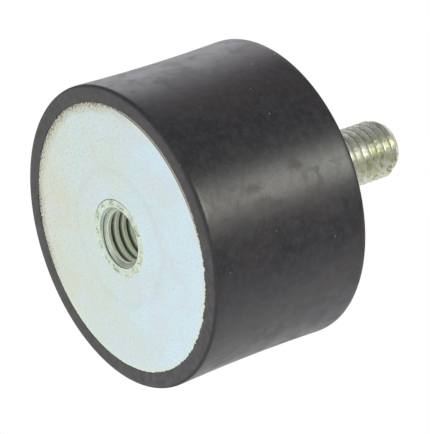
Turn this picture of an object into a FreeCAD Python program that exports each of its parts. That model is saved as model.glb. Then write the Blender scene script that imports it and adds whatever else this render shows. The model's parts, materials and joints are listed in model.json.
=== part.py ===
"""Bobbin vibration mount, 50 x 30 mm with M10 threads.

A rubber cylinder is moulded and bonded round two punched steel plates. A blind threaded bush
is staked into one plate, and a stud passes out through the other. The five pieces meet face
to face and are held together by the rubber, so nothing moves.

Lengths are in millimetres. +Z runs along the axis towards the stud, and the origin is the
centre of the outer face of the plate that holds the bush.
"""
import FreeCAD, Part
import math
import os

from FreeCAD import Vector

# Rubber
body_diameter = 50.0
body_height = 30.0
waist_depth = 0.3  # how far the side draws in at half height, on the radius
rim_width = 2.5  # rubber left round the edge of each plate
rim_bevel = 0.6  # trimmed outer edges of the rubber

# Plates
plate_thickness = 2.0
plate_edge_break = 0.5  # bevel that the punch leaves round each plate's inner face

# Thread of the bush and of the stud, left plain here: the bush is bored to its tapping
# size, and the stud is as thick as its crests
thread_diameter = 10.0
thread_pitch = 1.5

# Threaded bush
bush_neck_wall = 1.0  # metal round the thread where the bush passes through its plate
bush_shoulder_width = 1.5  # step that bears on the plate's inner face
bush_thread_depth = 10.0
bush_floor_thickness = 1.2  # metal left beyond the drill point
bush_end_chamfer = 1.0
drill_point_angle = 118.0
mouth_clearance = 0.1  # how far the mouth of the thread opens past its crests, on the radius

# Collar of the bush, spread into a countersink in the plate by a toothed staking punch
collar_spread = 0.4
collar_depth = 0.8
staking_mark_count = 14
staking_mark_width = 0.7
staking_mark_depth = 0.2
staking_mark_margin = 0.25  # metal left between a mark and each edge of the collar

# Stud
stud_length = 25.0  # what stands out of the rubber
stud_neck_step = 0.5  # how far the neck that fills the plate's hole is proud of the thread
stud_point_chamfer = 1.0
stud_head_diameter = 16.0
stud_head_height = 3.5
stud_head_chamfer = 0.6

# Sizes that follow from the ones above
body_radius = body_diameter / 2
plate_radius = body_radius - rim_width
thread_radius = thread_diameter / 2
tapping_radius = (thread_diameter - thread_pitch) / 2
mouth_radius = thread_radius + mouth_clearance
mouth_depth = mouth_radius - tapping_radius
bush_neck_radius = thread_radius + bush_neck_wall
bush_shoulder_radius = bush_neck_radius + bush_shoulder_width
collar_radius = bush_neck_radius + collar_spread
drill_point_depth = tapping_radius / math.tan(math.radians(drill_point_angle / 2))
bush_length = bush_thread_depth + drill_point_depth + bush_floor_thickness
stud_neck_radius = thread_radius + stud_neck_step
stud_plate_inner_z = body_height - plate_thickness
stud_head_z = stud_plate_inner_z - stud_head_height
stud_tip_z = body_height + stud_length


def at(radius, z):
    """A point of a profile, in the half plane through the axis."""
    return Vector(radius, 0, z)


def line(start, end):
    return Part.makeLine(at(*start), at(*end))


def bowed(start, pull, end):
    """A parabola from start to end that leaves both along straight lines through pull."""
    curve = Part.BezierCurve()
    curve.setPoles([at(*start), at(*pull), at(*end)])
    return curve.toShape()


def turned(edges):
    """The solid that a closed profile sweeps in one turn about the axis."""
    profile = Part.Face(Part.Wire(Part.__sortEdges__(edges)))
    return profile.revolve(Vector(0, 0, 0), Vector(0, 0, 1), 360)


def turned_from_points(points):
    """A turned solid whose profile has straight edges only."""
    return turned([line(a, b) for a, b in zip(points, points[1:] + points[:1])])


def moulding():
    """The mount without its stud: a cylinder with bevelled edges and a slightly hollow side."""
    low = rim_bevel
    high = body_height - rim_bevel
    flat = body_radius - rim_bevel
    # a parabola reaches half as far in as the point that pulls it
    pull = body_radius - 2 * waist_depth
    return turned([
        line((0, 0), (flat, 0)),
        line((flat, 0), (body_radius, low)),
        bowed((body_radius, low), (pull, body_height / 2), (body_radius, high)),
        line((body_radius, high), (flat, body_height)),
        line((flat, body_height), (0, body_height)),
        line((0, body_height), (0, 0)),
    ])


def punched_disc(outer_z, inner_z):
    """A disc from its bare outer face to its bonded inner face, whose edge the punch bevelled."""
    bevel_z = inner_z + math.copysign(plate_edge_break, outer_z - inner_z)
    return turned_from_points([
        (0, outer_z),
        (plate_radius, outer_z),
        (plate_radius, bevel_z),
        (plate_radius - plate_edge_break, inner_z),
        (0, inner_z),
    ])


def staking_marks():
    """The dents of the toothed punch, evenly spaced round the collar's face."""
    inner = mouth_radius + staking_mark_margin
    outer = collar_radius - staking_mark_margin
    corner = Vector(inner, -staking_mark_width / 2, 0)
    dent = Part.makeBox(outer - inner, staking_mark_width, staking_mark_depth, corner)
    dents = []
    for index in range(staking_mark_count):
        turn = 360 * index / staking_mark_count
        dents.append(dent.rotated(Vector(0, 0, 0), Vector(0, 0, 1), turn))
    return dents


def bush_blank():
    """The bush before it is drilled: collar, neck, shoulder and closed end."""
    return turned_from_points([
        (0, 0),
        (collar_radius, 0),
        (bush_neck_radius, collar_depth),
        (bush_neck_radius, plate_thickness),
        (bush_shoulder_radius, plate_thickness),
        (bush_shoulder_radius, bush_length - bush_end_chamfer),
        (bush_shoulder_radius - bush_end_chamfer, bush_length),
        (0, bush_length),
    ])


def bush_bore():
    """The tapping hole, with its chamfered mouth and the drill's point."""
    return turned_from_points([
        (0, 0),
        (mouth_radius, 0),
        (tapping_radius, mouth_depth),
        (tapping_radius, bush_thread_depth),
        (0, bush_thread_depth + drill_point_depth),
    ])


def threaded_bush():
    return bush_blank().cut([bush_bore()] + staking_marks())


def bush_plate():
    return punched_disc(0, plate_thickness).cut(bush_blank())


def stud():
    """Shank with a pointed end, a neck flush with the plate and a round head buried behind it."""
    return turned_from_points([
        (0, stud_head_z),
        (stud_head_diameter / 2 - stud_head_chamfer, stud_head_z),
        (stud_head_diameter / 2, stud_head_z + stud_head_chamfer),
        (stud_head_diameter / 2, stud_plate_inner_z),
        (stud_neck_radius, stud_plate_inner_z),
        (stud_neck_radius, body_height),
        (thread_radius, body_height),
        (thread_radius, stud_tip_z - stud_point_chamfer),
        (thread_radius - stud_point_chamfer, stud_tip_z),
        (0, stud_tip_z),
    ])


def stud_plate():
    return punched_disc(body_height, stud_plate_inner_z).cut(stud())


def rubber_body():
    """The moulding less the four metal pieces that lie in it, which the rubber is bonded to."""
    plates = [punched_disc(0, plate_thickness), punched_disc(body_height, stud_plate_inner_z)]
    return moulding().cut(plates + [bush_blank(), stud()])


pieces = {
    "rubber_body": rubber_body(),
    "bush_plate": bush_plate(),
    "threaded_bush": threaded_bush(),
    "stud_plate": stud_plate(),
    "stud": stud(),
}

os.makedirs("parts", exist_ok=True)
for name, shape in pieces.items():
    shape.Solids[0].exportStep("parts/" + name + ".step")
    print(name, len(shape.Solids), "solid,", round(shape.Volume), "mm3, valid:", shape.isValid())
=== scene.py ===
# %% [markdown]
# # A bobbin vibration mount
#
# The mount is a rubber cylinder bonded between two steel plates. One plate holds a threaded
# bush and the other a threaded stud. The solids give every piece its size and place, but their
# threads are plain, their edges are sharp and they have no finish.
#
# This lesson makes the visible pieces at the sizes of those solids: turned blanks, threads and
# punch marks that node trees work into them, and four finishes built from noise. Lengths are
# in metres, and +Z runs along the axis towards the stud.

# %% Load the solids that everything is built around
import json
import math

import bmesh
import bpy
import numpy as np
from mathutils import Matrix, Vector, noise


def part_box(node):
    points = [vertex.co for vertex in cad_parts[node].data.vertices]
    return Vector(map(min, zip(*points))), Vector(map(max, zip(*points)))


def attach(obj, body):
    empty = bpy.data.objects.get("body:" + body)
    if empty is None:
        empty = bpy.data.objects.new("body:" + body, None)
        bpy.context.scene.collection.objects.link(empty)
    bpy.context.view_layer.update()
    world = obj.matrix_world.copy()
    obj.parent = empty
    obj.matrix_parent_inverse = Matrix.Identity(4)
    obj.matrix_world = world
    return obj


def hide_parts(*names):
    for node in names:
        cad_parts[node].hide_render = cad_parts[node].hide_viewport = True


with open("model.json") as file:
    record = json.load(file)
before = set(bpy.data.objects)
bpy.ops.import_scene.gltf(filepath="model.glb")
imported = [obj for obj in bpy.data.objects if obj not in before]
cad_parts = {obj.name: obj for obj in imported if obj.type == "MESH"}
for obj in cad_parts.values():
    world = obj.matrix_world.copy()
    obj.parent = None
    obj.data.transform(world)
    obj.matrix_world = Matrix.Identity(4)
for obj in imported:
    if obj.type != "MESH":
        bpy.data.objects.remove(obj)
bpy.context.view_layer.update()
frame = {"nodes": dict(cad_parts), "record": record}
MM = 0.001
TINY = 1e-6  # a smaller difference is a rounding error
print("solids:", sorted(frame["nodes"]))

# %% [markdown]
# ## Sizes read from the solids
#
# A size that a solid already has is read from it, so that the pieces still fit if the part
# is changed. Only what the solids leave out, such as the pitch of the thread, is a new number.

# %% Read the main sizes
mounts = {mount["name"]: mount for mount in frame["record"]["mounts"]}
BODY_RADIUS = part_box("rubber_body")[1].x
BODY_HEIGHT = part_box("rubber_body")[1].z
PLATE_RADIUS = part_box("bush_plate")[1].x
PLATE_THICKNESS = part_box("bush_plate")[1].z
BUSH_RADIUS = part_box("threaded_bush")[1].x
BUSH_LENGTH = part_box("threaded_bush")[1].z
STUD_HEAD_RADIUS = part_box("stud")[1].x
STUD_HEAD_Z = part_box("stud")[0].z
STUD_TIP_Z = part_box("stud")[1].z
STUD_PLATE_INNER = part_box("stud_plate")[0].z
THREAD_RADIUS = mounts["stud"]["dims"]["r_mm"] * MM
TAPPING_RADIUS = mounts["female_thread"]["dims"]["r_mm"] * MM

THREAD_PITCH = 1.5 * MM
WAIST_DEPTH = 0.3 * MM
RIM_BEVEL = 0.6 * MM
PLATE_EDGE_BREAK = 0.5 * MM
BUSH_NECK_RADIUS = 6.0 * MM
COLLAR_RADIUS = 6.4 * MM
COLLAR_DEPTH = 0.8 * MM
BUSH_END_CHAMFER = 1.0 * MM
STUD_NECK_RADIUS = 5.5 * MM
STUD_HEAD_CHAMFER = 0.6 * MM
print("body radius and height, mm:", round(BODY_RADIUS / MM, 2), round(BODY_HEIGHT / MM, 2))
print("thread radius, mm:", round(THREAD_RADIUS / MM, 2))

# %% [markdown]
# ## The camera
#
# The view was found by fitting a pinhole camera to the outline of the mount. Four facts fix
# it: how long the lens is, where the centre of the front face lies in the picture and how far
# away it is, how far the mount's axis leans away from the line of sight, and how steeply
# that axis rises in the picture. The mount stands on its front face, so this camera looks up
# at that face from below.

# %% Place the camera
PICTURE_WIDTH = 430
PICTURE_HEIGHT = 434
FOCAL_PIXELS = 2849.0
FACE_CENTRE_PIXEL = Vector((118.9, 238.3))
FACE_DISTANCE = 449.3 * MM
AXIS_LEAN = math.radians(56.78)
AXIS_RISE = math.radians(19.35)
SENSOR_WIDTH = 36.0

# the mount's axis and the face's centre, with x right, y up and z towards the camera
rise = Vector((math.cos(AXIS_RISE), math.sin(AXIS_RISE))) * math.sin(AXIS_LEAN)
axis_seen = Vector((rise.x, rise.y, -math.cos(AXIS_LEAN)))
face_seen = Vector((
    (FACE_CENTRE_PIXEL.x - PICTURE_WIDTH / 2) * FACE_DISTANCE / FOCAL_PIXELS,
    (PICTURE_HEIGHT / 2 - FACE_CENTRE_PIXEL.y) * FACE_DISTANCE / FOCAL_PIXELS,
    -FACE_DISTANCE,
))

# the mount's X and Y as the camera sees them: Y points straight away from the camera
to_camera = -face_seen
y_seen = (axis_seen * to_camera.dot(axis_seen) - to_camera).normalized()
x_seen = y_seen.cross(axis_seen)
seen_to_mount = Matrix((x_seen, y_seen, axis_seen))

camera_data = bpy.data.cameras.new("photo_camera")
camera_data.sensor_width = SENSOR_WIDTH
camera_data.lens = FOCAL_PIXELS / max(PICTURE_WIDTH, PICTURE_HEIGHT) * SENSOR_WIDTH
camera_data.clip_start = 10 * MM
camera_data.clip_end = 10
camera = bpy.data.objects.new("photo_camera", camera_data)
camera.matrix_world = Matrix.Translation(seen_to_mount @ to_camera) @ seen_to_mount.to_4x4()
bpy.context.scene.collection.objects.link(camera)
bpy.context.scene.camera = camera
bpy.context.scene.view_settings.view_transform = "Standard"
print("camera at", [round(x / MM, 1) for x in camera.matrix_world.translation], "mm")

# %% [markdown]
# ## Helpers for node trees
#
# Every finish and every shaping rule below is a node tree. One function adds a node, sets what
# differs from its defaults and links what feeds it, so that each tree reads as a list. Inputs
# whose order is plain are given by their place, such as the two sides of a sum or the factor
# and the two sides of a mix. A Map Range takes its value, then the range from which it comes,
# which becomes 0 to 1 unless the call says otherwise. Any other input is given by its name.
#
# Colours are written as the hex values that a picture editor shows, which are sRGB. One
# function turns them into the linear values that the renderer works in.

# %% Define the helpers for node trees
def linear(hex_colour):
    """The linear colour, with alpha, of an sRGB colour such as "#8fa0b0"."""
    channels = [int(hex_colour[i : i + 2], 16) / 255 for i in (1, 3, 5)]
    return (*(c / 12.92 if c <= 0.04045 else ((c + 0.055) / 1.055) ** 2.4 for c in channels), 1)


def socket_of(sockets, key):
    """The socket at that place, or with that name, among those that the node's mode uses."""
    in_use = [socket for socket in sockets if socket.enabled]
    if isinstance(key, int):
        return in_use[key]
    key = key.replace("_", " ")
    return next(socket for socket in in_use if key in (socket.name, socket.identifier))


def add(tree, kind, *inputs, **settings):
    """Adds a node. inputs go to its sockets in their order; settings are options or sockets.

    A node links its first output, and a node with a name that output. All else is a value.
    """
    node = tree.nodes.new(kind if "Node" in kind else "ShaderNode" + kind)
    if "stops" in settings:
        stops = settings.pop("stops")
        node.color_ramp.interpolation = "B_SPLINE"
        for _ in stops[2:]:
            node.color_ramp.elements.new(1.0)
        for element, (position, colour) in zip(node.color_ramp.elements, stops):
            element.position = position
            element.color = linear(colour)
    for option in [key for key in settings if key in node.bl_rna.properties]:
        setattr(node, option, settings.pop(option))
    for key, value in [*enumerate(inputs), *settings.items()]:
        socket = socket_of(node.inputs, key)
        if isinstance(value, bpy.types.Node):
            value = (value, 0)
        if isinstance(value, tuple) and isinstance(value[0], bpy.types.Node):
            tree.links.new(socket_of(value[0].outputs, value[1]), socket)
        elif isinstance(value, str) and value.startswith("#"):
            socket.default_value = linear(value)
        else:
            socket.default_value = value
    return node


def new_material(name):
    """A material with an empty tree."""
    material = bpy.data.materials.new(name)
    material.use_nodes = True
    material.node_tree.nodes.clear()
    return material


# %% [markdown]
# ## The room
#
# A mount like this is shot on a white sweep, where it seems to float. A pale floor lies under
# it and fades into a white world at its rim. The camera of the photo looks up through that
# floor, so the floor is one-sided: its underside lets camera rays pass. It also lets the
# lamps shine through, so that they reach the face that the mount stands on. It lies a hair
# below that face, because two surfaces in one plane would flicker.
#
# The world is white to the camera, and to reflections too, because bare zinc is bright only
# where it has something bright to mirror. The side where the photographer stands is darker, as
# a studio is, which gives the metal its contrast. To diffuse rays the world is a plain fill
# light.

# %% Make the floor and the world
FLOOR_RADIUS = 500 * MM
FLOOR_SOLID = 0.35  # share of the radius over which the floor is solid
FLOOR_DROP = 0.1 * MM
AMBIENT_STRENGTH = 0.48
DARK_SIDE = (0.05, 0.45, 1.0)  # right, up and towards the camera
DARK_SIDE_INNER = math.radians(82)
DARK_SIDE_OUTER = math.radians(118)
DARK_SIDE_STRENGTH = 0.22


def make_floor():
    material = new_material("paper_sweep")
    tree = material.node_tree
    place = (add(tree, "TexCoord"), "Object")
    reach = add(tree, "VectorMath", place, operation="LENGTH")
    fade = add(tree, "MapRange", reach, FLOOR_RADIUS * FLOOR_SOLID, FLOOR_RADIUS,
               interpolation_type="SMOOTHSTEP")
    underside = (add(tree, "NewGeometry"), "Backfacing")
    hidden = add(tree, "Math", fade, underside, operation="MAXIMUM")
    paper = add(tree, "BsdfDiffuse", Color="#f1f1f0")
    shader = add(tree, "MixShader", hidden, paper, add(tree, "BsdfTransparent"))
    add(tree, "OutputMaterial", Surface=shader)

    shape = bmesh.new()
    bmesh.ops.create_circle(shape, cap_ends=True, segments=96, radius=FLOOR_RADIUS)
    bmesh.ops.translate(shape, verts=shape.verts, vec=(0, 0, -FLOOR_DROP))
    mesh = bpy.data.meshes.new("floor")
    shape.to_mesh(mesh)
    shape.free()
    mesh.materials.append(material)
    floor = bpy.data.objects.new("floor", mesh)
    bpy.context.scene.collection.objects.link(floor)
    floor.visible_shadow = False
    floor.visible_diffuse = False
    floor.visible_glossy = False
    floor.visible_transmission = False


def make_world():
    """White to the camera. Reflections find it white too, but dim on the photographer's side."""
    world = bpy.data.worlds.new("white_room")
    world.use_nodes = True
    tree = world.node_tree
    tree.nodes.clear()
    path = add(tree, "LightPath")
    place = (add(tree, "TexCoord"), "Generated")
    dark_side = seen_to_mount @ Vector(DARK_SIDE).normalized()
    facing = add(tree, "VectorMath", place, dark_side, operation="DOT_PRODUCT")
    mirrored = add(tree, "MapRange", facing, math.cos(DARK_SIDE_OUTER), math.cos(DARK_SIDE_INNER),
                   1.0, DARK_SIDE_STRENGTH, interpolation_type="SMOOTHSTEP")
    reflected = add(tree, "Math", (path, "Is Glossy Ray"), (path, "Is Transmission Ray"),
                    operation="MAXIMUM")
    unseen = add(tree, "Mix", reflected, AMBIENT_STRENGTH, mirrored)
    strength = add(tree, "Mix", (path, "Is Camera Ray"), unseen, 1.0)
    light = add(tree, "Background", Color="#ffffff", Strength=strength)
    add(tree, "OutputWorld", Surface=light)
    bpy.context.scene.world = world


make_floor()
make_world()
print("floor", FLOOR_RADIUS, "m in radius, fill light", AMBIENT_STRENGTH)

# %% [markdown]
# ## The lamps
#
# Soft boxes stand round the mount as they would in a studio, and each is placed as the
# photographer would see it: so far right, so far up and so far towards the camera.
#
# The small box on the right lays the broad sheen along the rubber's side and the bright line on
# the stud. A wide, weak panel on the left lights the front face, and as that face looks down
# here, the panel stands below the floor. A third box, about level with it, lifts the low side
# of the rubber out of black, and the last, behind the mount, draws a soft rim along its top.

# %% Place the lamps
BODY_CENTRE = Vector((0, 0, BODY_HEIGHT / 2))


def soft_box(name, seen_at, distance, size, watts, tint):
    """A square lamp that faces the mount from a direction given as the camera sees it."""
    direction = (seen_to_mount @ Vector(seen_at)).normalized()
    lamp = bpy.data.lights.new(name, "AREA")
    lamp.color = linear(tint)[:3]
    lamp.shape = "SQUARE"
    lamp.size = size
    lamp.energy = watts
    holder = bpy.data.objects.new(name, lamp)
    holder.location = BODY_CENTRE + direction * distance
    holder.rotation_euler = (-direction).to_track_quat("-Z", "Y").to_euler()
    bpy.context.scene.collection.objects.link(holder)
    print(name, "at height", round(holder.location.z, 2), "m")


soft_box("box_right", (0.765, 0.267, 0.481), 0.50, size=0.13, watts=1.06, tint="#fffff2")
soft_box("panel_left", (-0.62, -0.15, 0.77), 0.60, size=0.90, watts=2.8, tint="#ffffff")
soft_box("box_below", (0.35, -0.78, 0.30), 0.60, size=0.40, watts=0.6, tint="#f5f2ff")
soft_box("box_behind", (-0.10, 0.75, -0.65), 0.60, size=0.40, watts=0.5, tint="#f8f3ff")

# %% [markdown]
# ## Patterns that the finishes share
#
# Stains on a round piece follow three measures: noise of some grain size, the distance from the
# axis, and how far a point lies on one side of it. A function for each keeps the finishes
# short. Each gives a mask that runs from 0 to 1, or to the strength that a stain may reach.

# %% Define the patterns
def blotches(tree, place, size, detail, low, high, most=1.0, distortion=0.0):
    """Noise with grains of that size: 0 where it is under low and most where it is over high."""
    grain = add(tree, "TexNoise", place, Scale=1 / size, Detail=detail, Distortion=distortion)
    return add(tree, "MapRange", grain, low, high, To_Max=most)


def from_axis(tree, place):
    """How far a point lies from the axis."""
    flat = add(tree, "VectorMath", place, (1, 1, 0), operation="MULTIPLY")
    return add(tree, "VectorMath", flat, operation="LENGTH")


def on_side(tree, place, angle, start, full, least=0.0, most=1.0):
    """least up to start and most past full, as a point moves from the axis to that angle."""
    direction = (math.cos(angle), math.sin(angle), 0)
    along = add(tree, "VectorMath", place, direction, operation="DOT_PRODUCT")
    return add(tree, "MapRange", along, start, full, least, most)


# %% [markdown]
# ## Rubber
#
# Such a body is natural rubber, black with soot, pressed in a polished mould. It is satin, not
# glossy. Wax and sulphur creep to its surface and leave a patchy grey bloom, brown in places.
# Fine pores break the sheen, hands leave smudges that dull it, and grains of dust stick to it.
# All of that is noise of different grain, and a weak bump gives the skin its unevenness.
#
# Both faces are ground flush with the plates, which leaves them greyer and mottled. The outer
# edge of each is trimmed with a knife, which leaves a dull rim, and the rim is painted darker as
# shade. The knife went deeper on one side, where that painted shade is strongest.

# %% Make the rubber
RIM_ROUNDING = 0.65 * MM
RIM_WIDTH = 0.8 * RIM_ROUNDING
TRIM_AND_SHADE_ANGLE = math.radians(340)  # the side where the knife went deeper and the rim's painted shade is strongest


def make_rubber():
    material = new_material("moulded_natural_rubber")
    tree = material.node_tree
    place = (add(tree, "TexCoord"), "Object")
    cloud = add(tree, "TexNoise", place, Scale=1 / (11 * MM), Detail=5.0)
    colour = add(tree, "ValToRGB", cloud,
                 stops=[(0.38, "#1f1f25"), (0.46, "#222128"), (0.54, "#28252a"), (0.62, "#2e2a2b")])
    mottle = blotches(tree, place, 1.1 * MM, 3.0, 0.42, 0.75, 0.45)
    pores = blotches(tree, place, 0.4 * MM, 2.0, 0.55, 0.75, 0.26)
    # dust: a dot in a few of the cells of a coarse honeycomb
    cells = add(tree, "TexVoronoi", place, Scale=1 / (3.6 * MM))
    dot = add(tree, "MapRange", (cells, "Distance"), 0.07, 0.03, To_Max=0.55)
    chosen = add(tree, "Math", (cells, "Color"), 0.55, operation="GREATER_THAN")
    dust = add(tree, "Math", dot, chosen, operation="MULTIPLY")
    # the trimmed rim, near the outer edge of either face
    outer = add(tree, "MapRange", from_axis(tree, place), BODY_RADIUS - RIM_WIDTH, BODY_RADIUS)
    height = (add(tree, "SeparateXYZ", place), "Z")
    middle = add(tree, "Math", height, BODY_HEIGHT / 2, operation="SUBTRACT")
    middle = add(tree, "Math", middle, operation="ABSOLUTE")
    trimmed = add(tree, "MapRange", middle, BODY_HEIGHT / 2 - RIM_WIDTH, BODY_HEIGHT / 2)
    trimmed = add(tree, "Math", trimmed, outer, operation="MULTIPLY")
    trimmed = add(tree, "MapRange", trimmed, 0.05, 0.5)
    # the rim's darker colour is painted shade, strongest on the knife's side
    knife_and_shade_side = on_side(tree, place, TRIM_AND_SHADE_ANGLE, 0.4 * BODY_RADIUS, 0.8 * BODY_RADIUS, least=0.2)
    trimmed_rim_shade = add(tree, "Math", trimmed, knife_and_shade_side, operation="MULTIPLY")
    # the ground faces, brown away from the knife and full of pale crumbs
    ground = add(tree, "MapRange", middle, BODY_HEIGHT / 2 - 0.12 * MM, BODY_HEIGHT / 2 - 0.02 * MM)
    ground = add(tree, "Math", ground, 0.7, operation="MULTIPLY")
    scour = add(tree, "TexNoise", place, Scale=1 / (1.3 * MM), Detail=6.0)
    scoured = add(tree, "ValToRGB", scour,
                  stops=[(0.38, "#302b26"), (0.46, "#363333"), (0.54, "#3e3b40"),
                         (0.62, "#4b474e")])
    brown = add(tree, "MapRange", knife_and_shade_side, To_Min=0.6, To_Max=0.0)
    crumbs = blotches(tree, place, 0.45 * MM, 2.0, 0.64, 0.74, 0.6)
    for mask, tint in [(brown, "#322e27"), (crumbs, "#77736a")]:
        scoured = add(tree, "Mix", mask, scoured, tint, data_type="RGBA")
    for mask, tint in [(mottle, "#3f3d43"), (pores, "#4b4747"), (dust, "#8d8a86"),
                       (ground, scoured), (trimmed_rim_shade, "#2d2a29")]:
        colour = add(tree, "Mix", mask, colour, tint, data_type="RGBA")
    patches = add(tree, "TexNoise", place, Scale=1 / (7 * MM), Detail=6.0)
    gloss = add(tree, "MapRange", patches, 0.3, 0.7, 0.34, 0.39)
    smudges = blotches(tree, place, 3.2 * MM, 6.0, 0.45, 0.68, 0.38, distortion=0.6)
    for mask, roughness in [(smudges, 0.65), (pores, 0.62), (trimmed, 0.7)]:
        gloss = add(tree, "Mix", mask, gloss, roughness)
    skin = add(tree, "TexNoise", place, Scale=1 / (0.5 * MM), Detail=4.0)
    bump = add(tree, "Bump", Height=skin, Strength=0.42, Distance=0.02 * MM)
    shader = add(tree, "BsdfPrincipled", Base_Color=colour, Roughness=gloss, Normal=bump, IOR=1.52)
    add(tree, "OutputMaterial", Surface=shader)
    return material


RUBBER = make_rubber()
print(RUBBER.name, "with", len(RUBBER.node_tree.nodes), "nodes")

# %% [markdown]
# ## Zinc
#
# All the metal is steel with a zinc plating a few microns thick, dipped afterwards in a
# passivating bath. A thin film of chromate stays on it and splits light like oil on water:
# pale blue and pink clouds where it is thinnest, olive and straw yellow where it is thicker.
# The film is thicker on one side of a piece, where the bath drained off. A new coat is a little
# milky: part of the light scatters in it before the metal mirrors the rest.
#
# One function makes the three finishes, because they differ only in those tints, in how
# coarse the clouds are and in how milky or rough the coat is. What one piece alone has comes
# from a function of its own, as a list of masks, each with the colour or roughness it brings.

# %% Make the zinc that the finishes share
def make_zinc(name, tints, cloud_size, roughness, milk, stain, film, details):
    """tints run from the thinnest film to the thickest, and milk is the share that scatters.

    film says how thick the film is, as a share of that range: the direction in which it grows
    with its growth per metre, its value at the origin, and how far the clouds change it.
    """
    material = new_material(name)
    tree = material.node_tree
    place = (add(tree, "TexCoord"), "Object")
    run, start, swing = film
    cloud = add(tree, "TexNoise", place, Scale=1 / cloud_size, Detail=4.0, Distortion=0.6)
    cloud = add(tree, "MapRange", cloud, 0.3, 0.7, start - swing, start + swing)
    thick = add(tree, "VectorMath", place, run, operation="DOT_PRODUCT")
    thick = add(tree, "Math", thick, cloud, operation="ADD")
    spread = [(k / (len(tints) - 1), tint) for k, tint in enumerate(tints)]
    colour = add(tree, "ValToRGB", thick, stops=spread)
    # fine specks where the plating took badly
    grit = add(tree, "TexNoise", place, Scale=1 / (0.45 * MM), Detail=3.0)
    specks = add(tree, "MapRange", grit, 0.48, 0.78, To_Max=0.34)
    dull = add(tree, "MapRange", grit, 0.3, 0.7, roughness - 0.06, roughness + 0.06)
    tinted, dulled = details(tree, place, grit)
    for mask, tint in [(specks, stain), *tinted]:
        colour = add(tree, "Mix", mask, colour, tint, data_type="RGBA")
    for mask, rough in dulled:
        dull = add(tree, "Mix", mask, dull, rough)
    grain = add(tree, "TexNoise", place, Scale=1 / (0.25 * MM), Detail=2.0)
    bump = add(tree, "Bump", Height=grain, Strength=0.25, Distance=0.01 * MM)
    shader = add(tree, "BsdfPrincipled", Base_Color=colour, Roughness=dull, Normal=bump,
                 Metallic=1 - milk)
    add(tree, "OutputMaterial", Surface=shader)
    print(name, "with", len(tree.nodes), "nodes")
    return material


GROOVE_SHADE_ANGLE = math.radians(185)  # the side where the groove round the bush is painted dark as shade


def groove_light_and_shade(tree, place):
    """The groove round the bush, painted pale to lift its shade, and dark as shade on one side
    only.
    """
    shaded_side = on_side(tree, place, GROOVE_SHADE_ANGLE, 2.5 * MM, 5.5 * MM)
    return add(tree, "Mix", shaded_side, "#e8f3e7", "#8f978c", data_type="RGBA")


# %% [markdown]
# ## Zinc of the plates
#
# The plates are blue passivated, with faint lilac clouds. Along one stretch of the edge the coat
# is pitted, cream and speckled, and black is smeared off the torn rubber beside it. Elsewhere
# the edge has a pale fringe, which is a painted highlight. Where the rubber has come off, the
# rolled edge is stained and a dark line is painted where the roll begins.

# %% Make the zinc of the plates
BAND_ANGLE = math.radians(150)  # the middle of the pitted, speckled stretch
BARE_ANGLE = math.radians(243)  # round here the rubber has come off the plate's rolled edge


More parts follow.
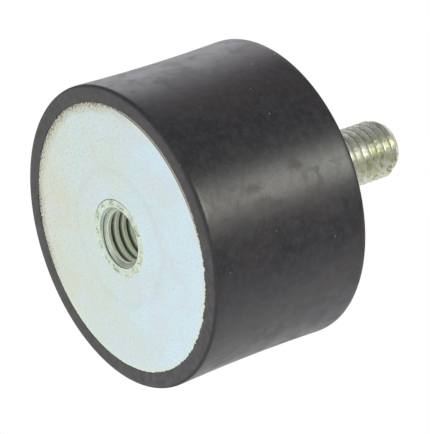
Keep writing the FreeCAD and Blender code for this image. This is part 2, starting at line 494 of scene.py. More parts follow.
def plate_stains(tree, place, grit):
    lilac = blotches(tree, place, 5 * MM, 3.0, 0.48, 0.66, 0.45, distortion=0.8)
    reach = from_axis(tree, place)
    wander = add(tree, "TexNoise", place, Scale=1 / (6 * MM), Detail=3.0)
    shift = add(tree, "Math", wander, 2.4 * MM, reach, operation="MULTIPLY_ADD")
    # pits, then a cream band with dark specks in it
    pits = add(tree, "MapRange", grit, 0.5, 0.74)
    pitted = on_side(tree, place, BAND_ANGLE, 4 * MM, 22 * MM, most=0.32)
    pitted = add(tree, "Math", pits, pitted, operation="MULTIPLY")
    side = on_side(tree, place, BAND_ANGLE, 5 * MM, 14 * MM)
    band = add(tree, "MapRange", shift, PLATE_RADIUS - 0.9 * MM, PLATE_RADIUS + 1.0 * MM)
    band = add(tree, "Math", band, side, operation="MULTIPLY")
    cream = add(tree, "Math", band, 0.8, operation="MULTIPLY")
    dots = add(tree, "TexNoise", place, Scale=1 / (0.36 * MM), Detail=2.0)
    speckle = add(tree, "MapRange", dots, 0.45, 0.62)
    speckle = add(tree, "Math", band, speckle, operation="MULTIPLY")
    # black smeared off the rubber, densest beside the flash
    smear = add(tree, "MapRange", shift, PLATE_RADIUS + 0.2 * MM, PLATE_RADIUS + 1.2 * MM)
    smear = add(tree, "Math", smear, side, operation="MULTIPLY")
    patchy = add(tree, "MapRange", dots, 0.38, 0.56)
    smear = add(tree, "Math", smear, patchy, operation="MULTIPLY")
    # a pale fringe painted as a highlight along the rest of the edge, and a faint ring half way out
    clean_side = add(tree, "Math", 1.0, side, operation="SUBTRACT")
    fringe_highlight = add(tree, "MapRange", shift, PLATE_RADIUS - 0.3 * MM, PLATE_RADIUS + 1.1 * MM,
                 To_Max=0.8, interpolation_type="SMOOTHSTEP")
    fringe_highlight = add(tree, "Math", fringe_highlight, clean_side, operation="MULTIPLY")
    ring = add(tree, "Math", shift, 0.55 * PLATE_RADIUS, operation="SUBTRACT")
    ring = add(tree, "Math", ring, operation="ABSOLUTE")
    ring = add(tree, "MapRange", ring, From_Max=1.1 * MM, To_Min=0.08, To_Max=0.0,
               interpolation_type="SMOOTHSTEP")
    # the bare roll is stained, and a dark line is painted where it begins
    rolled = add(tree, "MapRange", reach, PLATE_RADIUS - 0.42 * MM, PLATE_RADIUS - 0.3 * MM)
    bare = on_side(tree, place, BARE_ANGLE, 0.72 * PLATE_RADIUS, 0.92 * PLATE_RADIUS)
    rolled = add(tree, "Math", rolled, bare, operation="MULTIPLY")
    stained = add(tree, "Math", rolled, 0.85, operation="MULTIPLY")
    roll_start_line = add(tree, "Math", reach, PLATE_RADIUS - 0.44 * MM, operation="SUBTRACT")
    roll_start_line = add(tree, "Math", roll_start_line, operation="ABSOLUTE")
    roll_start_line = add(tree, "MapRange", roll_start_line, From_Max=0.19 * MM, To_Min=0.95, To_Max=0.0)
    roll_start_line = add(tree, "Math", roll_start_line, bare, operation="MULTIPLY")
    # the groove round the bush, which only the front plate has, painted pale with a dark side as
    # light and shade
    groove = add(tree, "MapRange", reach, COLLAR_RADIUS + 0.09 * MM, COLLAR_RADIUS + 0.04 * MM)
    height = (add(tree, "SeparateXYZ", place), "Z")
    is_front = add(tree, "Math", height, BODY_HEIGHT / 2, operation="LESS_THAN")
    groove = add(tree, "Math", groove, is_front, operation="MULTIPLY")
    tinted = [(lilac, "#dbdee6"), (pitted, "#b4b5a8"), (cream, "#cfccb0"), (speckle, "#878170"),
              (smear, "#57523f"), (fringe_highlight, "#dfead6"), (ring, "#a9a6a2"), (stained, "#b3aa9e"),
              (roll_start_line, "#57534a"), (groove, groove_light_and_shade(tree, place))]
    return tinted, [(rolled, 0.6), (groove, 0.65)]


PLATE_ZINC = make_zinc(
    "blue_passivated_zinc", ["#dadcc8", "#d9e0d1", "#d7e5dd", "#d6e6e5", "#d7eaf1", "#d9edf6"],
    cloud_size=8 * MM, roughness=0.34, milk=0.0, stain="#b3bab7",
    film=((9.0, -18.0, 0), 0.58, 0.22), details=plate_stains)

# %% [markdown]
# ## Zinc of the bush
#
# The bush is clear passivated, and its coat is the milkiest. Brown grime settles on the
# floors of the staking marks, which are also painted darker there as shade. The turning tool left
# fine lines in the mouth. The tap tore the crests of the thread, which scatter light out of the
# bore and are painted near white as light, and the roots are painted darker as shade.

# %% Make the zinc of the bush
WAVE_PERIOD = 0.314  # spacing of the wave texture's lines at a scale of 1
TURNING_FEED = 0.27 * MM  # coarser than a real feed, so that the lines show


def bush_stains(tree, place, grit):
    height = (add(tree, "SeparateXYZ", place), "Z")
    reach = from_axis(tree, place)
    # the floors of the staking marks are painted brown, partly as grime and partly as painted shade
    sunk = add(tree, "MapRange", height, 0.04 * MM, 0.15 * MM, To_Max=0.5)
    on_collar = add(tree, "Math", reach, THREAD_RADIUS + 0.18 * MM, operation="GREATER_THAN")
    grime_and_shade = add(tree, "Math", sunk, on_collar, operation="MULTIPLY")
    patchy = add(tree, "MapRange", grit, 0.45, 0.62)
    grime_and_shade = add(tree, "Math", grime_and_shade, patchy, operation="MULTIPLY")
    lines = add(tree, "TexWave", place, wave_type="RINGS", rings_direction="Z",
                Scale=WAVE_PERIOD / TURNING_FEED, Distortion=1.2, Detail=2.0)
    lines = add(tree, "MapRange", (lines, "Fac"), From_Min=0.3, To_Min=0.25, To_Max=0.75)
    in_bore = add(tree, "Math", reach, THREAD_RADIUS + 0.09 * MM, operation="LESS_THAN")
    lines = add(tree, "Math", lines, in_bore, operation="MULTIPLY")
    in_mouth = add(tree, "MapRange", height, 1.6 * MM, 0.9 * MM)
    lines = add(tree, "Math", lines, in_mouth, operation="MULTIPLY")
    # the crests inside the bore are rough, and painted near white as painted light
    torn_lit_crests = add(tree, "MapRange", reach, TAPPING_RADIUS + 0.2 * MM, TAPPING_RADIUS + 0.05 * MM)
    # the roots past the mouth are painted darker as shade
    painted_root_shade = add(tree, "MapRange", reach, TAPPING_RADIUS + 0.2 * MM, TAPPING_RADIUS + 0.6 * MM,
               To_Max=0.85)
    painted_root_shade = add(tree, "Math", painted_root_shade, in_bore, operation="MULTIPLY")
    past_mouth = add(tree, "Math", 1.0, in_mouth, operation="SUBTRACT")
    painted_root_shade = add(tree, "Math", painted_root_shade, past_mouth, operation="MULTIPLY")
    # the groove round the bush, painted pale with a dark side as light and shade
    groove = add(tree, "MapRange", reach, COLLAR_RADIUS - 0.09 * MM, COLLAR_RADIUS - 0.04 * MM)
    tinted = [(grime_and_shade, "#a39a84"), (lines, "#83897f"), (torn_lit_crests, "#f2f5e6"), (painted_root_shade, "#7f7e6f"),
              (groove, groove_light_and_shade(tree, place))]
    return tinted, [(torn_lit_crests, 0.8), (groove, 0.65)]


BUSH_ZINC = make_zinc(
    "clear_passivated_zinc", ["#d4eae4", "#d8ebde", "#e3ead2", "#d0dad4"],
    cloud_size=1.8 * MM, roughness=0.44, milk=0.25, stain="#a3aba2",
    film=((0, 0, 0), 0.5, 0.5), details=bush_stains)

# %% [markdown]
# ## Zinc of the stud
#
# The stud is yellow passivated. Its crests have been knocked, and they are painted dark as shade
# on one side and pale as light on the other. Brown spots gather towards the tip, whose tapered
# point sparkles where it was struck.

# %% Make the zinc of the stud
CREST_SHADE_ANGLE = math.radians(235)  # the side where the crests are painted dark as shade


def stud_stains(tree, place, grit):
    height = (add(tree, "SeparateXYZ", place), "Z")
    reach = from_axis(tree, place)
    crest = add(tree, "MapRange", reach, THREAD_RADIUS - 0.12 * MM, THREAD_RADIUS - 0.01 * MM,
                To_Max=0.75)
    # crests painted dark on one side as shade and pale on the other as light
    shade_side = on_side(tree, place, CREST_SHADE_ANGLE, 0.5 * MM, 4 * MM)
    crest_light_and_shade = add(tree, "Mix", shade_side, "#e0dec9", "#7a756b", data_type="RGBA")
    tip = add(tree, "MapRange", height, STUD_TIP_Z - 1.1 * MM, STUD_TIP_Z - 0.3 * MM, To_Max=0.7)
    sparkle = add(tree, "ValToRGB", grit,
                  stops=[(0.38, "#6d6358"), (0.46, "#a3978b"), (0.54, "#cfcac2"), (0.6, "#fbfaf6")])
    rounded = add(tree, "MapRange", reach, 3.2 * MM, 3.9 * MM)
    end_face = add(tree, "Mix", rounded, "#b5aba0", sparkle, data_type="RGBA")
    spots = blotches(tree, place, 0.9 * MM, 4.0, 0.54, 0.72)
    near_tip = add(tree, "MapRange", height, STUD_TIP_Z - 14 * MM, STUD_TIP_Z - 2 * MM, To_Max=0.75)
    spots = add(tree, "Math", spots, near_tip, operation="MULTIPLY")
    return [(crest, crest_light_and_shade), (tip, end_face), (spots, "#85704f")], [(crest, 0.55)]


# the thinnest tints are partly passivation colour and partly painted light: they are lighter than
# the film gives, to lighten the side where the film is thinnest
STUD_ZINC = make_zinc(
    "yellow_passivated_zinc", ["#f4f0f1", "#ecebe6", "#e0e1d8", "#d9dcc9", "#cfcea9", "#bfb08c"],
    cloud_size=1.6 * MM, roughness=0.38, milk=0.14, stain="#958b82",
    film=((45.0, -54.0, 16.0), -0.53, 0.32), details=stud_stains)

# %% [markdown]
# ## Turned blanks
#
# All five pieces are round about the same axis, so each starts as the profile that a lathe or
# a mould would give it: a list of corners in radius and height. A corner may carry the reach
# of its rounding. The profile is swept once round the axis. Spinning it in mesh code, and not
# with a modifier, leaves a plain mesh whose poles and seam are closed from the start.

# %% Define the turned blank
ROUNDING_STEPS = 6
SHARP_ANGLE = math.radians(32)


def softened(corners):
    """The profile with each corner that carries a reach, as its third value, rounded off."""
    points = []
    for index, (radius, z, *reach) in enumerate(corners):
        here = Vector((radius, z))
        if not reach:
            points.append(here)
            continue
        before = Vector(corners[index - 1][:2])
        after = Vector(corners[(index + 1) % len(corners)][:2])
        start = here + (before - here).normalized() * reach[0]
        end = here + (after - here).normalized() * reach[0]
        for step in range(ROUNDING_STEPS + 1):
            t = step / ROUNDING_STEPS
            points.append(start * (1 - t) ** 2 + here * (2 * t * (1 - t)) + end * t**2)
    return points


def finish_piece(name, mesh):
    """Turns a closed mesh's faces outwards, shades it and puts it in the scene."""
    shape = bmesh.new()
    shape.from_mesh(mesh)
    bmesh.ops.recalc_face_normals(shape, faces=shape.faces)
    shape.to_mesh(mesh)
    shape.free()
    mesh.shade_smooth()
    mesh.set_sharp_from_angle(angle=SHARP_ANGLE)
    piece = bpy.data.objects.new(name, mesh)
    bpy.context.scene.collection.objects.link(piece)
    triangles = sum(len(face.vertices) - 2 for face in mesh.polygons)
    print(name, len(mesh.vertices), "points,", triangles, "triangles")
    return piece


def turned(name, corners, segments, material, is_ring=False, reshape=None):
    """A closed turned solid. A ring's profile joins up; any other starts and ends on the axis."""
    points = []
    rows = []
    for radius, z in softened(corners):
        first = len(points)
        if radius < TINY:
            points.append((0, 0, z))
            rows.append([first] * segments)
            continue
        turns = [2 * math.pi * k / segments for k in range(segments)]
        points += [(radius * math.cos(a), radius * math.sin(a), z) for a in turns]
        rows.append([first + k for k in range(segments)])
    faces = []
    for row, other in zip(rows, rows[1:] + rows[:1] if is_ring else rows[1:]):
        for k in range(segments):
            around = (k + 1) % segments
            face = dict.fromkeys((row[k], row[around], other[around], other[k]))
            faces.append(tuple(face))
    if reshape:
        points = reshape(np.array(points))
    mesh = bpy.data.meshes.new(name)
    mesh.from_pydata(points, [], faces)
    mesh.materials.append(material)
    return finish_piece(name, mesh)


# %% [markdown]
# ## Plates
#
# Each plate is a disc punched from 2 mm sheet. A punch pulls the sheet down round its edge, so
# the outer face rolls over before it meets the side, and that roll catches the light as a
# bright hairline. The far side of the disc keeps the bevel of the solid. The hole is turned
# with a narrow broken edge, which is half of the groove round the bush.

# %% Make the plates
ROLL_WIDTH = 0.5 * MM
ROLL_DROP = 0.35 * MM
ROLL_STEPS = 8
EDGE_BREAK = 0.045 * MM
PLATE_SEGMENTS = 512


def roll(radius):
    """How far a plate's outer face has dropped at that radius. It is flat but for its edge."""
    along = np.clip((radius - PLATE_RADIUS + ROLL_WIDTH) / ROLL_WIDTH, 0, 1)
    return ROLL_DROP * (1 - np.sqrt(1 - along**2))


def plate_profile(outer_z, inner_z, hole):
    """hole lists the wall of the hole, from the inner face to the outer one."""
    into = math.copysign(1, inner_z - outer_z)
    turns = [math.radians(90 * k / ROLL_STEPS) for k in range(ROLL_STEPS + 1)]
    radii = [PLATE_RADIUS - ROLL_WIDTH + ROLL_WIDTH * math.sin(a) for a in turns]
    return (
        hole
        + [(radius, outer_z + into * roll(radius)) for radius in radii]
        + [(PLATE_RADIUS, inner_z - into * PLATE_EDGE_BREAK)]
        + [(PLATE_RADIUS - PLATE_EDGE_BREAK, inner_z)]
    )


BUSH_NECK = [
    (BUSH_NECK_RADIUS, PLATE_THICKNESS),
    (BUSH_NECK_RADIUS, COLLAR_DEPTH),
    (COLLAR_RADIUS - EDGE_BREAK / 2, EDGE_BREAK),
]
STUD_NECK = [(STUD_NECK_RADIUS, STUD_PLATE_INNER), (STUD_NECK_RADIUS, BODY_HEIGHT - EDGE_BREAK)]
bush_hole = BUSH_NECK + [(COLLAR_RADIUS + EDGE_BREAK, 0)]
stud_hole = STUD_NECK + [(STUD_NECK_RADIUS + EDGE_BREAK, BODY_HEIGHT)]
front_profile = plate_profile(0, PLATE_THICKNESS, bush_hole)
back_profile = plate_profile(BODY_HEIGHT, STUD_PLATE_INNER, stud_hole)
bush_plate = turned("front_plate", front_profile, PLATE_SEGMENTS, PLATE_ZINC, is_ring=True)
stud_plate = turned("back_plate", back_profile, PLATE_SEGMENTS, PLATE_ZINC, is_ring=True)

# %% [markdown]
# ## Rubber body
#
# The rubber fills the mould round the metal, so its inner surface is the print of the other
# four pieces. A film of it, the flash, creeps over the rolled edge of each plate and tears off
# unevenly when the part leaves the mould. That ragged line is a wander of the flash's edge
# with the angle, made of noise that is sampled round a circle so that it meets itself.

# %% Make the rubber body
RUBBER_SEGMENTS = 1024
FLASH_REACH = 0.26 * MM  # how far the flash lies over the roll, on average
FLASH_WANDER = 0.22 * MM
FLASH_NOISE = [(4.0, 0.4), (0.9, 0.6), (0.5, 1.0), (0.25, 1.6)]  # grain in mm, and its share
LEAST_FLASH = 0.02 * MM
BARE_FULL = math.cos(math.radians(18))  # the rubber is off up to here on either side
BARE_NONE = math.cos(math.radians(38))
TORN_WIDTH = 0.6 * MM  # the tear leaves the face alone from this far outside the plate
FLASH_STEPS = 5
SIDE_STEPS = 24


def side_radius(z):
    """The side is a parabola between the rims, drawn in at half height."""
    half = BODY_HEIGHT / 2
    along = (z - half) / (half - RIM_BEVEL)
    return BODY_RADIUS - WAIST_DEPTH * (1 - along**2)


def contact(outer_z, inner_z):
    """The print of a plate's edge in the rubber, from its inner face to the tip of the flash."""
    into = math.copysign(1, inner_z - outer_z)
    radii = [PLATE_RADIUS - FLASH_REACH * k / FLASH_STEPS for k in range(FLASH_STEPS + 1)]
    return (
        [(PLATE_RADIUS - PLATE_EDGE_BREAK, inner_z)]
        + [(PLATE_RADIUS, inner_z - into * PLATE_EDGE_BREAK)]
        + [(radius, outer_z + into * roll(radius)) for radius in radii]
        + [(PLATE_RADIUS - FLASH_REACH, outer_z)]
    )


def tear_flash(points):
    """Moves the tip of the flash in and out, and the print under it with it."""
    angle = np.arctan2(points[:, 1], points[:, 0])
    radius = np.hypot(points[:, 0], points[:, 1])
    is_top = points[:, 2] > BODY_HEIGHT / 2
    depth = np.where(is_top, BODY_HEIGHT - points[:, 2], points[:, 2])
    is_flash = (radius < PLATE_RADIUS + TINY) & (radius > PLATE_RADIUS - 1.01 * FLASH_REACH)
    is_flash &= depth < ROLL_DROP * 1.01
    for index in np.flatnonzero(is_flash):
        a = angle[index]
        sample = Vector((math.cos(a), math.sin(a), 3.0 * is_top[index])) * PLATE_RADIUS
        wander = sum(noise.noise(sample / (size * MM)) * share for size, share in FLASH_NOISE)
        bare = 0.9 * np.clip((math.cos(a - BARE_ANGLE) - BARE_NONE) / (BARE_FULL - BARE_NONE), 0, 1)
        tip = (FLASH_REACH + FLASH_WANDER * wander) * (1 - bare)
        tip = np.clip(tip, LEAST_FLASH, ROLL_WIDTH)
        new_radius = PLATE_RADIUS - (PLATE_RADIUS - radius[index]) * tip / FLASH_REACH
        new_depth = roll(new_radius) if depth[index] > TINY else 0.0
        new_z = BODY_HEIGHT - new_depth if is_top[index] else new_depth
        points[index] = (new_radius * math.cos(a), new_radius * math.sin(a), new_z)
    return points


BUSH_BACK = [
    (0, BUSH_LENGTH),
    (BUSH_RADIUS - BUSH_END_CHAMFER, BUSH_LENGTH),
    (BUSH_RADIUS, BUSH_LENGTH - BUSH_END_CHAMFER),
    (BUSH_RADIUS, PLATE_THICKNESS),
]
STUD_HEAD = [
    (0, STUD_HEAD_Z),
    (STUD_HEAD_RADIUS - STUD_HEAD_CHAMFER, STUD_HEAD_Z),
    (STUD_HEAD_RADIUS, STUD_HEAD_Z + STUD_HEAD_CHAMFER),
    (STUD_HEAD_RADIUS, STUD_PLATE_INNER),
]
side_z = np.linspace(RIM_BEVEL * 2, BODY_HEIGHT - RIM_BEVEL * 2, SIDE_STEPS)
rubber_profile = [
    *BUSH_BACK,
    *contact(0, PLATE_THICKNESS),
    (PLATE_RADIUS + TORN_WIDTH, 0),
    (BODY_RADIUS, 0, RIM_ROUNDING),
    *[(side_radius(z), z) for z in side_z],
    (BODY_RADIUS, BODY_HEIGHT, RIM_ROUNDING),
    (PLATE_RADIUS + TORN_WIDTH, BODY_HEIGHT),
    *reversed(contact(BODY_HEIGHT, STUD_PLATE_INNER)),
    *reversed(STUD_HEAD),
]
rubber = turned("rubber_cylinder", rubber_profile, RUBBER_SEGMENTS, RUBBER, reshape=tear_flash)

# %% [markdown]
# ## A tree that cuts threads
#
# A screw thread is a shape that follows a rule, so a node tree makes it. The tree sweeps a row
# of profile points round the axis, as the lathe function does. The points of the thread also
# climb by one pitch in a turn, which lays the edges of the mesh exactly along crest and root
# and closes them on themselves one pitch higher. At the ends they are held at the plane where
# the thread stops. Their radius comes from the rule of a 60 degree thread, and the blank's
# chamfer trims it, as it does on a real screw.
#
# The other way, a helix with a profile swept along it, leaves a coil that only touches its
# core. This one is a single closed skin.

# %% Define how a tree is built and used
def new_shaping_tree(name, counts, measures):
    """A tree with those inputs besides a geometry and a material, and the node that gives them."""
    tree = bpy.data.node_groups.new(name, "GeometryNodeTree")
    sockets = tree.interface
    sockets.new_socket("Geometry", in_out="OUTPUT", socket_type="NodeSocketGeometry")
    kinds = {"Geometry": ["Geometry"], "Int": counts, "Float": measures, "Material": ["Material"]}
    for kind, labels in kinds.items():
        for label in labels:
            sockets.new_socket(label, in_out="INPUT", socket_type="NodeSocket" + kind)
    return tree, add(tree, "NodeGroupInput")


def end_tree(tree, given, geometry):
    """Makes the geometry real, gives it its material and hands it out."""
    real = add(tree, "GeometryNodeRealizeInstances", geometry)
    painted = add(tree, "GeometryNodeSetMaterial", real, Material=(given, "Material"))
    add(tree, "NodeGroupOutput", painted)
    return tree


def shaped(mesh, tree, values):
    """The plain mesh that a tree makes of another, with the tree's inputs set by name."""
    carrier = bpy.data.objects.new(tree.name, mesh)
    bpy.context.scene.collection.objects.link(carrier)
    modifier = carrier.modifiers.new(tree.name, "NODES")
    modifier.node_group = tree
    for socket in tree.interface.items_tree:
        if socket.in_out == "INPUT" and socket.name in values:
            modifier[socket.identifier] = values[socket.name]
    graph = bpy.context.evaluated_depsgraph_get()
    result = bpy.data.meshes.new_from_object(carrier.evaluated_get(graph))
    bpy.data.objects.remove(carrier)
    bpy.data.meshes.remove(mesh)
    return result


# %% Build the thread tree
def make_thread_tree():
    tree, given = new_shaping_tree(
        "turned_thread", ["Columns"],
        ["Pitch", "Crest radius", "Root radius", "Crest flat", "Root flat", "Start", "End",
         "Open end", "Closed end", "Chamfer", "Taper", "Runout", "Wear"])
    profile = (given, "Geometry")
    here = add(tree, "GeometryNodeInputPosition")
    rows = (add(tree, "GeometryNodeAttributeDomainSize", profile), "Point Count")
    columns = add(tree, "Math", (given, "Columns"), 1.0, operation="ADD")
    grid = add(tree, "GeometryNodeMeshGrid", Size_X=1.0, Size_Y=1.0, Vertices_X=columns,
               Vertices_Y=rows)
    place = add(tree, "SeparateXYZ", here)
    turn = add(tree, "Math", (place, "X"), 0.5, operation="ADD")
    up = add(tree, "Math", (place, "Y"), 0.5, operation="ADD")
    last = add(tree, "Math", rows, 1.0, operation="SUBTRACT")
    row = add(tree, "Math", up, last, operation="MULTIPLY")
    row = add(tree, "Math", row, operation="ROUND")
    point = add(tree, "GeometryNodeSampleIndex", profile, here, row, data_type="FLOAT_VECTOR")
    point = add(tree, "SeparateXYZ", point)
    winds = add(tree, "GeometryNodeInputNamedAttribute", Name="winds")
    winds = add(tree, "GeometryNodeSampleIndex", profile, winds, row, data_type="FLOAT")

    # height of a winding point, held between the two ends of the thread
    climb = add(tree, "Math", turn, (given, "Pitch"), operation="MULTIPLY")
    climb = add(tree, "Math", climb, (point, "Z"), operation="ADD")
    height = add(tree, "Clamp", climb, (given, "Start"), (given, "End"))

    # radius by the rule of the thread, from the distance to the middle of the crest in pitches
    phase = add(tree, "Math", height, (given, "Pitch"), operation="DIVIDE")
    phase = add(tree, "Math", phase, turn, operation="SUBTRACT")
    phase = add(tree, "Math", phase, operation="FRACT")
    phase = add(tree, "Math", phase, 0.5, operation="SUBTRACT")
    phase = add(tree, "Math", phase, operation="ABSOLUTE")
    crest_edge = add(tree, "Math", (given, "Crest flat"), 0.5, operation="MULTIPLY")
    root_edge = add(tree, "Math", (given, "Root flat"), -0.5, 0.5, operation="MULTIPLY_ADD")
    cut = add(tree, "MapRange", phase, crest_edge, root_edge, (given, "Crest radius"),
              (given, "Root radius"))
    left = add(tree, "Math", height, (given, "Closed end"), operation="SUBTRACT")
    left = add(tree, "Math", left, operation="ABSOLUTE")
    fade = add(tree, "MapRange", left, From_Max=(given, "Runout"), interpolation_type="SMOOTHSTEP")
    cut = add(tree, "Mix", fade, (given, "Crest radius"), cut)

    # the blank's wall with its chamfer; side is -1 for a screw and 1 for a nut
    side = add(tree, "Math", (given, "Root radius"), (given, "Crest radius"), operation="SUBTRACT")
    side = add(tree, "Math", side, operation="SIGN")
    near = add(tree, "Math", height, (given, "Open end"), operation="SUBTRACT")
    near = add(tree, "Math", near, operation="ABSOLUTE")
    trim = add(tree, "Math", (given, "Chamfer"), near, operation="SUBTRACT")
    trim = add(tree, "Math", trim, 0.0, operation="MAXIMUM")
    trim = add(tree, "Math", trim, (given, "Taper"), operation="MULTIPLY")
    wall = add(tree, "Math", trim, side, (given, "Crest radius"), operation="MULTIPLY_ADD")
    wall = add(tree, "Math", wall, side, operation="MULTIPLY")
    cut = add(tree, "Math", cut, side, operation="MULTIPLY")
    radius = add(tree, "Math", wall, cut, operation="MAXIMUM")

    # dents in the metal, of about a millimetre
    angle = add(tree, "Math", turn, 2 * math.pi, operation="MULTIPLY")
    cosine = add(tree, "Math", angle, operation="COSINE")
    sine = add(tree, "Math", angle, operation="SINE")
    spot = add(tree, "CombineXYZ", cosine, sine)
    spot = add(tree, "VectorMath", spot, (given, "Crest radius"), operation="SCALE")
    lift = add(tree, "CombineXYZ", Z=height)
    spot = add(tree, "VectorMath", spot, lift, operation="ADD")
    dents = blotches(tree, spot, 1.1 * MM, 3.0, 0.52, 0.72)
    dents = add(tree, "Math", dents, (given, "Wear"), operation="MULTIPLY")
    radius = add(tree, "Math", radius, dents, operation="ADD")
    radius = add(tree, "Math", radius, side, operation="MULTIPLY")

    # points outside the thread keep the radius and height that the profile gives
    radius = add(tree, "Mix", winds, (point, "X"), radius)
    height = add(tree, "Mix", winds, (point, "Z"), height)
    x = add(tree, "Math", cosine, radius, operation="MULTIPLY")
    y = add(tree, "Math", sine, radius, operation="MULTIPLY")
    target = add(tree, "CombineXYZ", x, y, height)
    skin = add(tree, "GeometryNodeSetPosition", (grid, "Mesh"), Position=target)
    skin = add(tree, "GeometryNodeMergeByDistance", skin, Distance=0.002 * MM)
    return end_tree(tree, given, skin)


THREAD_TREE = make_thread_tree()
print("thread tree with", len(THREAD_TREE.nodes), "nodes")

# %% Thread a turned blank
FLANK_STEPS = 4


def thread_profile(before, start, end, after, crest_flat, root_flat):
    """The profile's points as a mesh, marked where they wind. Flats are shares of the pitch."""
    root_edge = root_flat / 2
    crest_edge = 0.5 - crest_flat / 2
    flank = [root_edge + (crest_edge - root_edge) * k / FLANK_STEPS for k in range(FLANK_STEPS + 1)]
    phases = [0.0, *flank, 0.5, *(1 - p for p in reversed(flank))]
    turns = math.ceil((end - start) / THREAD_PITCH) + 1
    first = math.floor(start / THREAD_PITCH + TINY) - 1
    winding = [(0, (first + turn + p) * THREAD_PITCH) for turn in range(turns + 1) for p in phases]
    points = before + winding + after
    marks = [0.0] * len(before) + [1.0] * len(winding) + [0.0] * len(after)
    mesh = bpy.data.meshes.new("thread_profile")
    mesh.from_pydata([(radius, 0, z) for radius, z in points], [], [])
    mesh.attributes.new("winds", "FLOAT", "POINT").data.foreach_set("value", marks)
    return mesh


def threaded(before, after, start, end, open_end, radii, flats, columns, material, **others):
    """A turned mesh with a thread from start to end, which is open at one of them.

    radii and flats are those of crest and root, and others are further inputs of the tree.
    """
    profile = thread_profile(before, start, end, after, *flats)
    return shaped(profile, THREAD_TREE, {
        "Columns": columns,
        "Pitch": THREAD_PITCH,
        "Crest radius": radii[0],
        "Root radius": radii[1],
        "Crest flat": flats[0],
        "Root flat": flats[1],
        "Start": start,
        "End": end,
        "Open end": open_end,
        "Closed end": start if open_end == end else end,
        "Material": material,
        **others,
    })


# %% [markdown]
# ## Stud
#
# The stud is turned, then its M10 thread is rolled. A rolled thread has a flat crest of an
# eighth of the pitch and a deeper root than its nut. It runs out just short of the plate. Its
# end has been knocked about, so the crests carry small dents.

# %% Make the stud
STUD_ROOT_RADIUS = 4.08 * MM
STUD_CREST_FLAT = 0.125
STUD_ROOT_FLAT = 0.167
STUD_POINT_LENGTH = 1.7 * MM
STUD_POINT_TAPER = 0.58  # 30 degrees
STUD_COLUMNS = 256
stud_mesh = threaded(
    STUD_HEAD + STUD_NECK + [(STUD_NECK_RADIUS - EDGE_BREAK, BODY_HEIGHT)], [(0, STUD_TIP_Z)],
    start=BODY_HEIGHT, end=STUD_TIP_Z, open_end=STUD_TIP_Z,
    radii=(THREAD_RADIUS, STUD_ROOT_RADIUS), flats=(STUD_CREST_FLAT, STUD_ROOT_FLAT),
    columns=STUD_COLUMNS, material=STUD_ZINC,
    Chamfer=STUD_POINT_LENGTH, Taper=STUD_POINT_TAPER, Runout=2.5 * MM, Wear=0.06 * MM)
stud = finish_piece("threaded_stud", stud_mesh)

# %% [markdown]
# ## Staking marks
#
# The bush is pushed through its plate and a toothed punch spreads its end into a countersink.
# Each tooth leaves a broad, ragged dent, with a narrow ridge between it and the next, and no two
# bite alike. A second tree presses them into the finished bush: it divides the collar into
# sectors and gives each its own place, width, depth and start from a seeded random number.

# %% Build the staking tree
def make_staking_tree():
    tree, given = new_shaping_tree(
        "staking_marks", ["Marks", "Seed"],
        ["Width", "Depth", "Inner radius", "Outer radius", "Slope"])
    here = add(tree, "GeometryNodeInputPosition")
    place = add(tree, "SeparateXYZ", here)
    reach = from_axis(tree, here)
    angle = add(tree, "Math", (place, "Y"), (place, "X"), operation="ARCTAN2")
    turn = add(tree, "Math", angle, 0.5 / math.pi, 0.5, operation="MULTIPLY_ADD")
    step = add(tree, "Math", turn, (given, "Marks"), operation="MULTIPLY")
    sector = add(tree, "Math", step, operation="FLOOR")
    local = add(tree, "Math", step, operation="FRACT")

    # place in the sector, width, depth and start, the last three as shares
    chances = []
    for index, (low, high) in enumerate([(0.4, 0.6), (0.5, 1.4), (0.3, 1.0), (0.0, 0.3)]):
        seed = add(tree, "Math", (given, "Seed"), float(index), operation="ADD")
        chances.append(add(tree, "FunctionNodeRandomValue", Min=low, Max=high, ID=sector, Seed=seed,
                           data_type="FLOAT"))
    middle, widen, bite, start = chances

    away = add(tree, "Math", local, middle, operation="SUBTRACT")
    away = add(tree, "Math", away, operation="ABSOLUTE")
    arc = add(tree, "Math", reach, 2 * math.pi, operation="MULTIPLY")
    arc = add(tree, "Math", arc, (given, "Marks"), operation="DIVIDE")
    away = add(tree, "Math", away, arc, operation="MULTIPLY")
    half = add(tree, "Math", widen, (given, "Width"), operation="MULTIPLY")
    half = add(tree, "Math", half, 0.5, operation="MULTIPLY")
    across = add(tree, "Math", half, away, operation="SUBTRACT")
    band = add(tree, "Math", (given, "Outer radius"), (given, "Inner radius"), operation="SUBTRACT")
    first = add(tree, "Math", band, start, (given, "Inner radius"), operation="MULTIPLY_ADD")
    inside = add(tree, "Math", reach, first, operation="SUBTRACT")
    outside = add(tree, "Math", (given, "Outer radius"), reach, operation="SUBTRACT")
    within = add(tree, "Math", inside, outside, operation="MINIMUM")
    within = add(tree, "Math", within, across, operation="MINIMUM")
    ragged = add(tree, "TexNoise", Scale=1 / (0.8 * MM), Detail=2.0)
    ragged = add(tree, "MapRange", ragged, 0.3, 0.7, -0.12 * MM, 0.12 * MM)
    within = add(tree, "Math", within, ragged, operation="ADD")
    within = add(tree, "MapRange", within, From_Max=(given, "Slope"),
                 interpolation_type="SMOOTHSTEP")
    press = add(tree, "Math", bite, (given, "Depth"), operation="MULTIPLY")
    press = add(tree, "Math", press, within, operation="MULTIPLY")
    move = add(tree, "CombineXYZ", Z=press)
    on_face = add(tree, "Math", (place, "Z"), 0.01 * MM, operation="LESS_THAN")
    marked = add(tree, "GeometryNodeSetPosition", (given, "Geometry"), Selection=on_face,
                 Offset=move)
    return end_tree(tree, given, marked)


STAKING_TREE = make_staking_tree()
print("staking tree with", len(STAKING_TREE.nodes), "nodes")

# %% [markdown]
# ## Threaded bush
#
# The bush is a blind turning: drilled, tapped and closed at the back. Its thread comes from the
# same tree as the stud's, with the crests inside and the roots outside. A tap cuts narrow roots
# and leaves the crests broad, at the size of the drill.

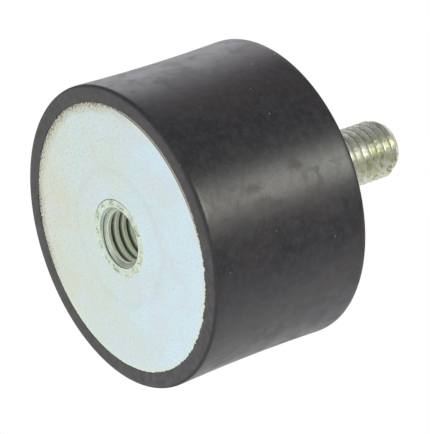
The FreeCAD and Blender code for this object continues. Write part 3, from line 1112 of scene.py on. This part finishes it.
# %% Make the threaded bush
BUSH_THREAD_DEPTH = 10.0 * MM
BUSH_ROOT_RADIUS = 4.98 * MM
BUSH_CREST_FLAT = 0.35
BUSH_ROOT_FLAT = 0.125
BUSH_COLUMNS = 384
MOUTH_RADIUS = 5.1 * MM
DRILL_ANGLE = math.radians(118)
DRILL_POINT = TAPPING_RADIUS / math.tan(DRILL_ANGLE / 2)
COLLAR_ROWS = 26
collar_radii = np.linspace(COLLAR_RADIUS - EDGE_BREAK, MOUTH_RADIUS + 0.03 * MM, COLLAR_ROWS)
bush_mesh = threaded(
    BUSH_BACK + BUSH_NECK + [(radius, 0) for radius in collar_radii],
    [(0, BUSH_THREAD_DEPTH + DRILL_POINT)],
    start=0.0, end=BUSH_THREAD_DEPTH, open_end=0.0,
    radii=(TAPPING_RADIUS, BUSH_ROOT_RADIUS), flats=(BUSH_CREST_FLAT, BUSH_ROOT_FLAT),
    columns=BUSH_COLUMNS, material=BUSH_ZINC,
    Chamfer=MOUTH_RADIUS - TAPPING_RADIUS, Taper=1.0, Runout=1.5 * MM, Wear=0.03 * MM)
bush_mesh = shaped(bush_mesh, STAKING_TREE, {
    "Marks": 14,
    "Width": 1.5 * MM,
    "Depth": 0.3 * MM,
    "Inner radius": MOUTH_RADIUS + 0.1 * MM,
    "Outer radius": COLLAR_RADIUS - 0.12 * MM,
    "Slope": 0.13 * MM,
    "Seed": 4,
    "Material": BUSH_ZINC,
})
bush = finish_piece("threaded_bush_turned", bush_mesh)

# %% [markdown]
# ## Hand the pieces over
#
# Each piece takes the place of the solid that it was made from and rides on the one body of the
# mount.

# %% Hand the pieces over
for piece, node, slot in [
    (rubber, "rubber_body", "rubber"),
    (bush_plate, "bush_plate", "plate_zinc"),
    (bush, "threaded_bush", "bush_zinc"),
    (stud_plate, "stud_plate", "plate_zinc"),
    (stud, "stud", "stud_zinc"),
]:
    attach(piece, "root")
    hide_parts(node)
